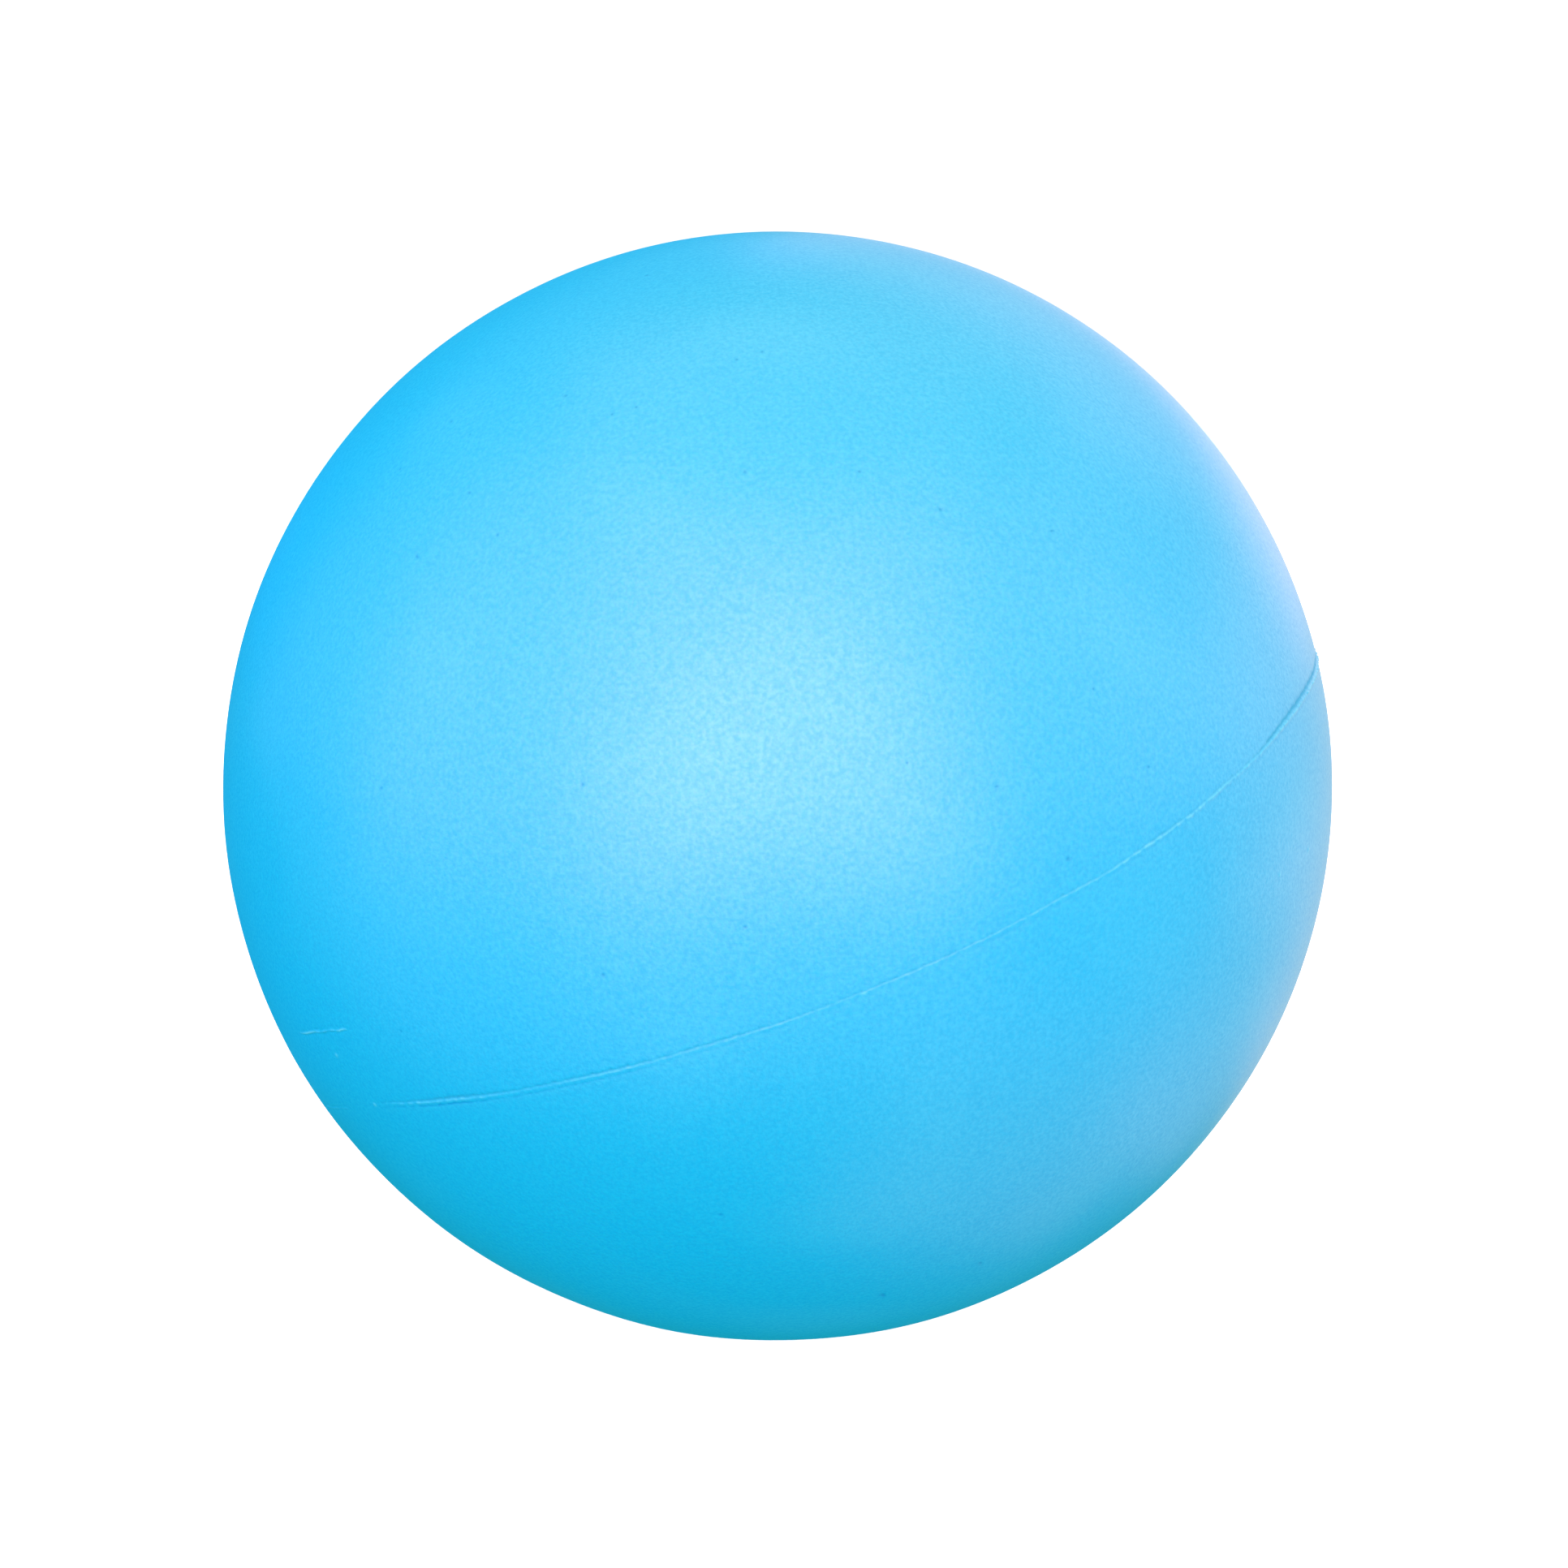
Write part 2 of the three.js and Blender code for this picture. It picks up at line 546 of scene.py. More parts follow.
@dataclass(frozen=True)
class PartingLine:
    """The trimmed flash where the mould's halves met: a thin crest between two fine grooves."""

    seen: tuple[LineKnot, ...] = (
        LineKnot(x_px=466, y_px=1361, crest_mm=0.001, groove_mm=0.001, lower_groove_mm=0.000),
        LineKnot(x_px=480, y_px=1360, crest_mm=0.010, groove_mm=0.007, lower_groove_mm=0.004),
        LineKnot(x_px=515, y_px=1359, crest_mm=0.018, groove_mm=0.013, lower_groove_mm=0.010),
        LineKnot(x_px=560, y_px=1355, crest_mm=0.023, groove_mm=0.020, lower_groove_mm=0.030),
        LineKnot(x_px=601, y_px=1351, crest_mm=0.010, groove_mm=0.014, lower_groove_mm=0.008),
        LineKnot(x_px=640, y_px=1345, crest_mm=0.006, groove_mm=0.009, lower_groove_mm=0.009),
        LineKnot(x_px=700, y_px=1333, crest_mm=0.008, groove_mm=0.011, lower_groove_mm=0.009),
        LineKnot(x_px=769, y_px=1318, crest_mm=0.009, groove_mm=0.013, lower_groove_mm=0.006),
        LineKnot(x_px=815, y_px=1306, crest_mm=0.005, groove_mm=0.006, lower_groove_mm=0.000),
        LineKnot(x_px=860, y_px=1293, crest_mm=0.007, groove_mm=0.010, lower_groove_mm=0.002),
        LineKnot(x_px=915, y_px=1277, crest_mm=0.006, groove_mm=0.010, lower_groove_mm=0.003),
        LineKnot(x_px=980, y_px=1256, crest_mm=0.007, groove_mm=0.005, lower_groove_mm=0.000),
        LineKnot(x_px=1020, y_px=1241, crest_mm=0.004, groove_mm=0.005, lower_groove_mm=0.004),
        LineKnot(x_px=1080, y_px=1217, crest_mm=0.005, groove_mm=0.005, lower_groove_mm=0.002),
        LineKnot(x_px=1122, y_px=1200, crest_mm=0.007, groove_mm=0.008, lower_groove_mm=0.002),
        LineKnot(x_px=1180, y_px=1174, crest_mm=0.005, groove_mm=0.005, lower_groove_mm=0.000),
        LineKnot(x_px=1250, y_px=1139, crest_mm=0.006, groove_mm=0.003, lower_groove_mm=0.004),
        LineKnot(x_px=1310, y_px=1106, crest_mm=0.007, groove_mm=0.006, lower_groove_mm=0.004),
        LineKnot(x_px=1340, y_px=1090, crest_mm=0.014, groove_mm=0.006, lower_groove_mm=0.000),
        LineKnot(x_px=1378, y_px=1068, crest_mm=0.015, groove_mm=0.005, lower_groove_mm=0.002),
        LineKnot(x_px=1398, y_px=1053, crest_mm=0.018, groove_mm=0.005, lower_groove_mm=0.004),
        LineKnot(x_px=1430, y_px=1032, crest_mm=0.023, groove_mm=0.010, lower_groove_mm=0.000),
        LineKnot(x_px=1471, y_px=1002, crest_mm=0.024, groove_mm=0.006, lower_groove_mm=0.000),
        LineKnot(x_px=1510, y_px=967, crest_mm=0.026, groove_mm=0.007, lower_groove_mm=0.002),
        LineKnot(x_px=1540, y_px=941, crest_mm=0.023, groove_mm=0.006, lower_groove_mm=0.002),
        LineKnot(x_px=1556, y_px=925, crest_mm=0.018, groove_mm=0.011, lower_groove_mm=0.003),
        LineKnot(x_px=1569, y_px=910, crest_mm=0.022, groove_mm=0.025, lower_groove_mm=0.005),
        LineKnot(x_px=1582, y_px=893, crest_mm=0.026, groove_mm=0.034, lower_groove_mm=0.006),
        LineKnot(x_px=1596, y_px=876, crest_mm=0.034, groove_mm=0.047, lower_groove_mm=0.008),
        LineKnot(x_px=1606, y_px=861, crest_mm=0.038, groove_mm=0.050, lower_groove_mm=0.006),
        LineKnot(x_px=1615, y_px=845, crest_mm=0.042, groove_mm=0.051, lower_groove_mm=0.004),
        LineKnot(x_px=1621, y_px=832, crest_mm=0.046, groove_mm=0.051, lower_groove_mm=0.002),
    )
    hidden: tuple[FarKnot, ...] = (
        FarKnot(longitude_deg=68.0, crest_mm=0.055, groove_mm=0.050, offset_mm=-0.65),
        FarKnot(longitude_deg=72.0, crest_mm=0.055, groove_mm=0.045, offset_mm=-0.85),
        FarKnot(longitude_deg=80.0, crest_mm=0.050, groove_mm=0.030, offset_mm=-0.90),
        FarKnot(longitude_deg=95.0, crest_mm=0.030, groove_mm=0.015, offset_mm=-0.40),
        FarKnot(longitude_deg=118.0, crest_mm=0.014, groove_mm=0.008),
        FarKnot(longitude_deg=140.0, crest_mm=0.022, groove_mm=0.004),
        FarKnot(longitude_deg=163.0, crest_mm=0.008, groove_mm=0.009),
        FarKnot(longitude_deg=180.0, crest_mm=0.018, groove_mm=0.003),
        FarKnot(longitude_deg=-158.0, crest_mm=0.024, groove_mm=0.010),
        FarKnot(longitude_deg=-135.0, crest_mm=0.006, groove_mm=0.008),
        FarKnot(longitude_deg=-112.0, crest_mm=0.020, groove_mm=0.004),
        FarKnot(longitude_deg=-88.0, crest_mm=0.012, groove_mm=0.006),
        FarKnot(longitude_deg=-65.0, crest_mm=0.002, groove_mm=0.001),
    )
    upper_half_width_mm: float = 0.040  # the crest's steep flank
    lower_half_width_mm: float = 0.10  # its rubbed flank, which runs out gently
    groove_half_width_mm: float = 0.040  # of the shallowest groove
    groove_spread: float = 1.9  # how much wider each millimetre of depth makes it
    groove_gap: float = 1.9  # from crest to groove, in half widths of the groove
    crest_spread: float = 0.9  # how much wider each millimetre of height makes the crest's painted highlight streak
    groove_crest_spread: float = 0.6  # and how much wider each millimetre of groove does
    lower_groove_offset_mm: float = -0.18  # the faint groove at the foot of the rubbed flank
    lower_groove_half_width_mm: float = 0.055
    lower_groove_share: float = 0.4  # how much of its depth is a hollow, the rest being only painted shade
    full_crest_mm: float = 0.022  # the crest's painted highlight is full at this height, and brighter still above it but no brighter than so many times that
    palest_crest: float = 2.0  # but no paler than so many times that
    full_groove_mm: float = 0.026  # a groove of this depth would get the full painted shade but the upper one's painted shade gets no darker than this
    darkest_groove: float = 0.75  # but the upper one gets no darker than this
    full_land_mm: float = 0.006  # the land is as high as it gets beside a crest of this height
    land_offset_mm: float = -0.30  # the middle of the raised band below the line, which the haze mask also makes paler
    land_half_width_mm: float = 0.11
    land_rise_mm: float = 0.002
    land_haze: float = 0.35
    wobble_mm: float = 0.009  # how far the crest strays from the knots' run
    wander_reach_mm: float = 8.0  # how far from the line its wandering bends the rings
    wobble_waves: tuple[int, int] = (60, 420)  # fewest and most once round the ball, here and below
    long_waves: tuple[int, int] = (9, 50)
    short_waves: tuple[int, int] = (80, 700)
    dot_waves: tuple[int, int] = (150, 750)
    land_waves: tuple[int, int] = (8, 40)
    crest_dashes: Dashes = Dashes(usual=0.95)
    crest_swings: tuple[float, float] = (0.42, 0.2)  # with the short waves and the long ones
    lower_swing: float = 0.4  # of the lower groove, with the short waves
    groove_dashes: Dashes = Dashes(usual=0.9, most=1.7)
    groove_swing: float = 0.35  # with the waves of the dots
    even_groove_mm: float = 0.03  # a groove as deep as this hardly breaks up
    least_broken: float = 0.2  # and keeps so much of its swing
    land_patches: Dashes = Dashes(usual=0.65, least=0.0, most=1.0)
    land_swing: float = 0.25
    seed: int = 11

    def knots(self, camera: PhotoCamera, parting: PartingFrame, radius_mm: float) -> np.ndarray:
        """Lines up the knots round the ball.

        Args:
            camera: the photograph's camera, which places the knots that it shows.
            parting: the frame that the line lies in.
            radius_mm: the ball's radius.

        Returns:
            Rows of longitude in degrees, then offset, crest and both grooves in millimetres.
        """
        rows = [
            (knot.longitude_deg, knot.offset_mm, knot.crest_mm, knot.groove_mm, knot.lower_groove_mm)
            for knot in self.hidden
        ]
        for knot in self.seen:
            latitude, longitude = parting.coordinates(camera.direction_at(knot.x_px, knot.y_px))
            offset = float(np.radians(latitude)) * radius_mm
            rows.append((float(longitude), offset, knot.crest_mm, knot.groove_mm, knot.lower_groove_mm))
        return np.array(sorted(rows))

    def shape(
        self, knots: np.ndarray, offset_mm: np.ndarray, longitude_deg: np.ndarray
    ) -> tuple[np.ndarray, np.ndarray, dict[Mask, np.ndarray]]:
        """How the flash raises and marks the surface.

        Across the line the height is a bell for the crest, narrower above than below, less a bell for each
        of the grooves beside it, plus a low bell for the raised land below. Along it, they run straight from
        knot to knot, times irregular waves that break the crest and the grooves into dashes and dots.

        Args:
            knots: what knots() gives.
            offset_mm: each point's distance above the line.
            longitude_deg: each point's longitude.

        Returns:
            The height of each point, its shift off the parting plane, and its masks.
        """
        rng = np.random.default_rng(self.seed)
        wander, crest, groove, lower = (
            np.interp(longitude_deg, knots[:, 0], knots[:, column], period=360.0) for column in (1, 2, 3, 4)
        )
        wander = wander + self.wobble_mm * waves_around(longitude_deg, *self.wobble_waves, rng)
        slow = waves_around(longitude_deg, *self.long_waves, rng)
        fast = waves_around(longitude_deg, *self.short_waves, rng)
        dots = waves_around(longitude_deg, *self.dot_waves, rng)
        patches = waves_around(longitude_deg, *self.land_waves, rng)

        land = self.land_rise_mm * np.clip(crest / self.full_land_mm, 0.0, 1.0)
        fast_swing, slow_swing = self.crest_swings
        crest = crest * self.crest_dashes.broken(fast_swing * fast, slow_swing * slow)
        lower = lower * self.crest_dashes.broken(self.lower_swing * fast)
        uneven = np.clip(1.0 - groove / self.even_groove_mm, self.least_broken, 1.0)
        groove = groove * self.groove_dashes.broken(self.groove_swing * dots * uneven)

        half_width = np.where(offset_mm > 0.0, self.upper_half_width_mm, self.lower_half_width_mm)
        groove_half_width = self.groove_half_width_mm + self.groove_spread * groove
        groove_bell = bell(offset_mm - self.groove_gap * groove_half_width, groove_half_width)
        lower_bell = bell(offset_mm - self.lower_groove_offset_mm, self.lower_groove_half_width_mm)
        land_bell = bell(offset_mm - self.land_offset_mm, self.land_half_width_mm)
        height = crest * bell(offset_mm, half_width) - groove * groove_bell + land * land_bell
        height = height - self.lower_groove_share * lower * lower_bell

        streak_half_width = self.upper_half_width_mm + self.crest_spread * crest
        streak_bell = bell(offset_mm, streak_half_width + self.groove_crest_spread * groove)
        patchy = self.land_patches.broken(self.land_swing * patches)
        masks = {
            # painted highlight along the crest
            Mask.CREST: streak_bell * np.clip(crest / self.full_crest_mm, 0.0, self.palest_crest),
            # painted shade in the upper grooves
            Mask.GROOVE: groove_bell * np.clip(groove / self.full_groove_mm, 0.0, self.darkest_groove),
            # painted shade in the lower groove
            Mask.HOLLOW_SHADE: lower_bell * np.clip(lower / self.full_groove_mm, 0.0, 1.0),
            Mask.HAZE: self.land_haze * land_bell * patchy * land / self.land_rise_mm,
        }
        shift = wander * bell(offset_mm, self.wander_reach_mm)
        return height, shift, masks


# a hollow's darkness is painted shade, and a crumb's lightness is a painted highlight
@dataclass(frozen=True)
class Speck:
    """A tiny hollow that the photograph shows as a dark dot, longer than wide where it slants.

    A crumb is the same thing standing proud, which the photograph shows as a light dot.
    """

    x_px: float
    y_px: float
    across_mm: float = 0.14
    stretch: float = 1.0
    lean_deg: float = 0.0
    depth_share: float = HOLLOW  # its depth as a share of its width, and below zero for a crumb


@dataclass(frozen=True)
class Specks:
    """The specks that the photograph shows, and like ones scattered over the rest of the ball."""

    seen: tuple[Speck, ...] = (
        Speck(x_px=797, y_px=339, across_mm=0.18),
        Speck(x_px=939, y_px=433),
        Speck(x_px=908, y_px=443, across_mm=0.13),
        Speck(x_px=697, y_px=488, across_mm=0.16),
        Speck(x_px=784, y_px=502),
        Speck(x_px=754, y_px=511, across_mm=0.14),
        Speck(x_px=556, y_px=519, across_mm=0.16),
        Speck(x_px=579, y_px=535, across_mm=0.10),
        Speck(x_px=493, y_px=578),
        Speck(x_px=578, y_px=607, across_mm=0.12, stretch=1.6, lean_deg=-30),
        Speck(x_px=613, y_px=659),
        Speck(x_px=514, y_px=686, stretch=1.7, lean_deg=-40),
        Speck(x_px=918, y_px=581),
        Speck(x_px=1059, y_px=581, across_mm=0.12),
        Speck(x_px=1159, y_px=628, across_mm=0.17),
        Speck(x_px=1296, y_px=654, across_mm=0.10, stretch=2.0, lean_deg=20),
        Speck(x_px=1356, y_px=628, across_mm=0.08),
        Speck(x_px=1347, y_px=849, across_mm=0.11),
        Speck(x_px=1415, y_px=945, across_mm=0.14),
        Speck(x_px=1228, y_px=969, across_mm=0.10, stretch=2.0, lean_deg=10),
        Speck(x_px=1316, y_px=1058, across_mm=0.20),
        Speck(x_px=1118, y_px=940, across_mm=0.11),
        Speck(x_px=718, y_px=967),
        Speck(x_px=470, y_px=971),
        Speck(x_px=918, y_px=1142),
        Speck(x_px=743, y_px=1201, across_mm=0.17),
        Speck(x_px=494, y_px=1271),
        Speck(x_px=888, y_px=1496, across_mm=0.20),
        Speck(x_px=1088, y_px=1596, across_mm=0.24, stretch=2.2, lean_deg=-78),
        Speck(x_px=1208, y_px=1556, across_mm=0.18, stretch=2.0, lean_deg=-67),
        Speck(x_px=415, y_px=1300, across_mm=0.20, depth_share=CRUMB),
        Speck(x_px=462, y_px=1361, across_mm=0.20, depth_share=CRUMB),
        Speck(x_px=1612, y_px=1047, across_mm=0.24, depth_share=CRUMB),
        Speck(x_px=1577, y_px=1078, across_mm=0.20, depth_share=CRUMB),
        Speck(x_px=1065, y_px=1224, across_mm=0.10, stretch=2.2, lean_deg=20, depth_share=CRUMB / 2),
    )
    hidden_count: int = 40
    hidden_widths_mm: tuple[float, float] = (0.09, 0.15)  # the narrowest and the widest
    hidden_stretches: tuple[float, ...] = (1.0, 1.0, 1.8)  # one of which each takes
    hidden_crumb_share: float = 0.15
    steepest_lean_deg: float = 90.0
    # how strong a crumb's painted highlight is
    crumb_highlight: float = 2.2
    candidates: int = 600  # places tried for the hidden ones
    outline_gap: float = 0.05  # how far behind the outline they stay, in radii
    least_gap_mm: float = 5.0
    line_gap_mm: float = 1.0
    seed: int = 5

    def scattered(self, camera: PhotoCamera, parting: PartingFrame, radius_mm: float) -> np.ndarray:
        """Directions to specks on the side that the photograph doesn't show, none close to another.

        Args:
            camera: the photograph's camera, which those specks face away from.
            parting: the frame that the parting line lies in.
            radius_mm: the ball's radius.

        Returns:
            Unit vectors, one row each.
        """
        rng = np.random.default_rng(self.seed)
        view_back = camera.axes()[2]
        least = 2.0 * np.sin(self.least_gap_mm / radius_mm / 2.0)
        chosen: list[np.ndarray] = []
        for candidate in unit(rng.normal(size=(self.candidates, 3))):
            latitude, _ = parting.coordinates(candidate)
            hidden = candidate @ view_back < 1.0 / camera.distance_in_radii - self.outline_gap
            off_line = abs(np.radians(latitude)) * radius_mm > self.line_gap_mm
            apart = all(np.linalg.norm(candidate - other) > least for other in chosen)
            if hidden and off_line and apart and len(chosen) < self.hidden_count:
                chosen.append(candidate)
        return np.array(chosen)

    def marks(
        self, camera: PhotoCamera, parting: PartingFrame, radius_mm: float
    ) -> list[tuple[Mark, float]]:
        """Makes every speck a mark, the seen ones and then the hidden ones.

        Args:
            camera: the photograph's camera, which places the ones that it shows.
            parting: the frame that the parting line lies in.
            radius_mm: the ball's radius.

        Returns:
            Each mark with its depth in millimetres, which is below zero for a crumb.
        """
        rng = np.random.default_rng(self.seed + 1)
        right = camera.axes()[0]
        places = [(camera.direction_at(speck.x_px, speck.y_px), speck) for speck in self.seen]
        for direction in self.scattered(camera, parting, radius_mm):
            width, stretch = rng.uniform(*self.hidden_widths_mm), rng.choice(self.hidden_stretches)
            depth_share = CRUMB if rng.uniform() < self.hidden_crumb_share else HOLLOW
            lean = rng.uniform(-self.steepest_lean_deg, self.steepest_lean_deg)
            places.append((direction, Speck(0, 0, width, stretch, lean, depth_share)))
        made = []
        for direction, speck in places:
            level = unit(right - (right @ direction) * direction)
            lean = np.radians(speck.lean_deg)
            along = np.cos(lean) * level + np.sin(lean) * np.cross(direction, level)
            half_width = speck.across_mm / 2.0
            mark = Mark(direction, along, half_width * speck.stretch, half_width)
            made.append((mark, speck.across_mm * speck.depth_share))
        return made

    def shape(
        self, marks: list[tuple[Mark, float]], directions: np.ndarray, radius_mm: float
    ) -> tuple[np.ndarray, dict[Mask, np.ndarray]]:
        """How the specks raise and mark the surface: each is a bell along it times a bell across it.

        Args:
            marks: what marks() gives.
            directions: unit vectors to the points.
            radius_mm: the ball's radius.

        Returns:
            The height of each point in millimetres, and the masks of the painted shade in the hollows and of
            the painted highlights on the crumbs.
        """
        height = np.zeros(len(directions))
        masks = {Mask.HOLLOW_SHADE: np.zeros(len(directions)), Mask.CREST: np.zeros(len(directions))}
        for mark, depth_mm in marks:
            along, across, facing = mark.local_mm(directions, radius_mm)
            dot = bell(along, mark.half_length_mm) * bell(across, mark.half_width_mm) * facing
            height -= depth_mm * dot
            # a hollow gets painted shade
            if depth_mm > 0.0:
                masks[Mask.HOLLOW_SHADE] = np.maximum(masks[Mask.HOLLOW_SHADE], dot)
            # a crumb gets a painted highlight
            else:
                masks[Mask.CREST] = np.maximum(masks[Mask.CREST], self.crumb_highlight * dot)
        return height, masks


@dataclass(frozen=True)
class Scratch:
    """A short raised scratch, left by a nick in the mould, or a piece of a longer one."""

    left_x_px: float
    left_y_px: float
    right_x_px: float
    right_y_px: float
    rise_mm: float
    half_width_mm: float = 0.045
    sway_mm: float = 0.03  # how far its S-curve swings to either side
    moat_mm: float = 0.12  # from its crest to the shallow hollows beside it
    moat_share: float = 0.3  # how deep those go, as a share of its height
    lumps: float = 2.5  # half waves of height along half of it
    lump_middle: float = 0.65  # its height half way between a lump and a dip
    lump_swing: float = 0.35
    fade_from: float = 0.8  # the share of its half length beyond which it fades out
    # how strong its painted highlight is
    highlight_paleness: float = 1.9

    def mark(self, camera: PhotoCamera, radius_mm: float) -> Mark:
        """Makes the scratch a mark, from its two ends.

        Args:
            camera: the photograph's camera, which places the ends.
            radius_mm: the ball's radius.

        Returns:
            The mark.
        """
        left = camera.direction_at(self.left_x_px, self.left_y_px)
        right = camera.direction_at(self.right_x_px, self.right_y_px)
        middle = unit(left + right)
        along = unit((right - left) - ((right - left) @ middle) * middle)
        half_length = float(np.linalg.norm(right - left)) * radius_mm / 2.0
        return Mark(middle, along, half_length, self.half_width_mm)

    def shape(
        self, mark: Mark, directions: np.ndarray, radius_mm: float
    ) -> tuple[np.ndarray, np.ndarray]:
        """The scratch's height and its crest mask.

        Across it, a bell with a shallower one taken off on either side. Its middle line sways along one
        full sine, its height rises and falls in lumps, and both ends fade out.

        Args:
            mark: what mark() gives.
            directions: unit vectors to the points.
            radius_mm: the ball's radius.

        Returns:
            The height in millimetres and the mask of its painted highlight.
        """
        along, across, facing = mark.local_mm(directions, radius_mm)
        share = along / mark.half_length_mm
        across = across - self.sway_mm * np.sin(np.pi * share)
        ends = (1.0 - smooth_step(np.abs(share), self.fade_from, 1.0)) * facing
        crest, moat, other_moat = (
            bell(across - offset, self.half_width_mm) for offset in (0.0, self.moat_mm, -self.moat_mm)
        )
        lumpy = self.lump_middle + self.lump_swing * np.cos(self.lumps * np.pi * share)
        height = self.rise_mm * lumpy * ends * (crest - self.moat_share * (moat + other_moat))
        return height, self.highlight_paleness * ends * lumpy * crest


@dataclass(frozen=True)
class RubberFinish:
    """Satin blue rubber, coloured right through, with painted highlights on the crest, scratches and crumbs,
    painted shade in the grooves and pits, and paler in soft patches and a band below the line.
    """

    colour: tuple[float, float, float] = (0.0012, 0.52, 0.895)
    deep_colour: tuple[float, float, float] = (0.0008, 0.45, 0.835)
    # painted highlight on the crest, scratches and crumbs, and the colour of the paler patches and band
    # below the line
    pale_and_highlight_colour: tuple[float, float, float] = (0.15, 0.80, 0.97)
    # painted shade in the lower groove and the pits
    hollow_shade_colour: tuple[float, float, float] = (0.0002, 0.24, 0.62)
    # painted shade in the upper grooves
    groove_shade_colour: tuple[float, float, float] = (0.0002, 0.24, 0.42)
    roughness: float = 0.40
    roughness_swing: float = 0.05  # either way, from blob to blob of the grain
    dull: float = 0.35  # how much rougher the upper groove is
    refraction: float = 1.5
    gloss: float = 0.50  # the rubber's own, at 0.5 what its refraction gives
    wax: float = 0.28  # the film of wax on its skin, which the grooves and pits lack, so that their gloss is darkened as painted shade
    wax_swing: float = 0.125  # how patchy the film is, either way
    wax_roughness: float = 0.36  # a little smoother than the rubber under it
    wax_refraction: float = 2.2  # a thin bright film, so that it adds more in front than at the rim
    wax_grain_mm: float = 0.19
    grain_mm: float = 0.13
    grain_depth_mm: float = 0.014
    grain_detail: float = 2.0  # finer layers of noise in either grain
    deepest_tones: float = 0.4  # the colour is deepest where both grains' tones add up to this
    brightest_tones: float = 1.6  # and brightest where they add up to this
    haze_strength: float = 0.10  # how far each mask at full strength turns the colour to its own
    crest_highlight_strength: float = 0.18
    groove_shade_strength: float = 0.55
    hollow_shade_strength: float = 0.60

    def build(self) -> bpy.types.Material:
        """Makes the material from the masks of the mesh and the satin grain.

        Two grains of different size, of the rubber and of its wax, add up to the tone of the colour. The
        first also sets the roughness and the bump, and the second how thick the wax is.

        Returns:
            The material.
        """
        material = bpy.data.materials.new(RUBBER_SLOT)
        material.use_nodes = True
        net = NodeNet(material.node_tree)
        shader = net.nodes["Principled BSDF"]
        shader.inputs["IOR"].default_value = self.refraction
        shader.inputs["Specular IOR Level"].default_value = self.gloss
        grain = net.grain(self.grain_mm, self.grain_detail)
        patches = net.grain(self.wax_grain_mm, self.grain_detail)

        tones = net.added(grain.outputs["Tone"], patches.outputs["Tone"])
        share = net.ranged(tones, 0.0, 1.0, self.deepest_tones, self.brightest_tones)
        colour = net.mix(self.deep_colour, self.colour, share)
        # the crest mask paints highlights, the groove mask and the mask of the lower groove and pits paint
        # shade, and the haze mask makes patches and a band below the line paler
        for mask, marked_colour, strength in (
            (Mask.HAZE, self.pale_and_highlight_colour, self.haze_strength),
            (Mask.CREST, self.pale_and_highlight_colour, self.crest_highlight_strength),
            (Mask.GROOVE, self.groove_shade_colour, self.groove_shade_strength),
            (Mask.HOLLOW_SHADE, self.hollow_shade_colour, self.hollow_shade_strength),
        ):
            colour = net.mix(colour, marked_colour, net.multiplied(net.mask(mask), strength))
        net.link(colour, shader.inputs["Base Color"])

        smoothest, roughest = self.roughness - self.roughness_swing, self.roughness + self.roughness_swing
        satin = net.ranged(grain.outputs["Tone"], roughest, smoothest)
        dulled = net.added(satin, net.multiplied(net.mask(Mask.GROOVE), self.dull))
        net.link(dulled, shader.inputs["Roughness"])

        film = net.ranged(patches.outputs["Tone"], self.wax - self.wax_swing, self.wax + self.wax_swing)
        # taking the wax off the grooves and pits darkens their gloss, which is painted shade too
        hollows = net.added(net.mask(Mask.GROOVE), net.mask(Mask.HOLLOW_SHADE))
        net.link(net.multiplied(film, net.ranged(hollows, 1.0, 0.0)), shader.inputs["Coat Weight"])
        shader.inputs["Coat IOR"].default_value = self.wax_refraction
        shader.inputs["Coat Roughness"].default_value = self.wax_roughness

        bump = net.nodes.new("ShaderNodeBump")
        bump.inputs["Strength"].default_value = 1.0
        bump.inputs["Distance"].default_value = self.grain_depth_mm * MM
        net.link(grain.outputs["Height"], bump.inputs["Height"])
        net.link(bump.outputs["Normal"], shader.inputs["Normal"])
        return material


@dataclass(frozen=True)
class FloorFinish:
    """Plain pale paper, which glows a little as painted light so that it stays nearly white under a soft
    shadow, glowing less near the ball so that the shadow shows there.
    """

    colour: tuple[float, float, float] = (0.8, 0.8, 0.8)
    near: float = 0.04  # the glow starts to grow so far from the ball's centre
    far: float = 0.22  # and has grown to its full strength here
    # painted light: the floor's own glow, weakest near the ball
    near_glow: float = 0.72
    far_glow: float = 1.08

    def build(self) -> bpy.types.Material:
        """Makes the floor's material, whose glow grows with the distance from the ball.

        Returns:
            The material.
        """
        material = bpy.data.materials.new("pale_paper")
        material.use_nodes = True
        net = NodeNet(material.node_tree)
        shader = net.nodes["Principled BSDF"]
        shader.inputs["Base Color"].default_value = (*self.colour, 1.0)
        shader.inputs["Roughness"].default_value = 1.0
        shader.inputs["Specular IOR Level"].default_value = 0.0
        shader.inputs["Emission Strength"].default_value = 1.0
        place, length = net.nodes.new("ShaderNodeTexCoord"), net.nodes.new("ShaderNodeVectorMath")
        length.operation = "LENGTH"
        net.link(place.outputs["Object"], length.inputs[0])
        glow = net.ranged(length.outputs["Value"], self.near_glow, self.far_glow, self.near, self.far)
        net.link(glow, shader.inputs["Emission Color"])
        return material


Colour = bpy.types.NodeSocket | tuple[float, float, float]
Number = bpy.types.NodeSocket | float


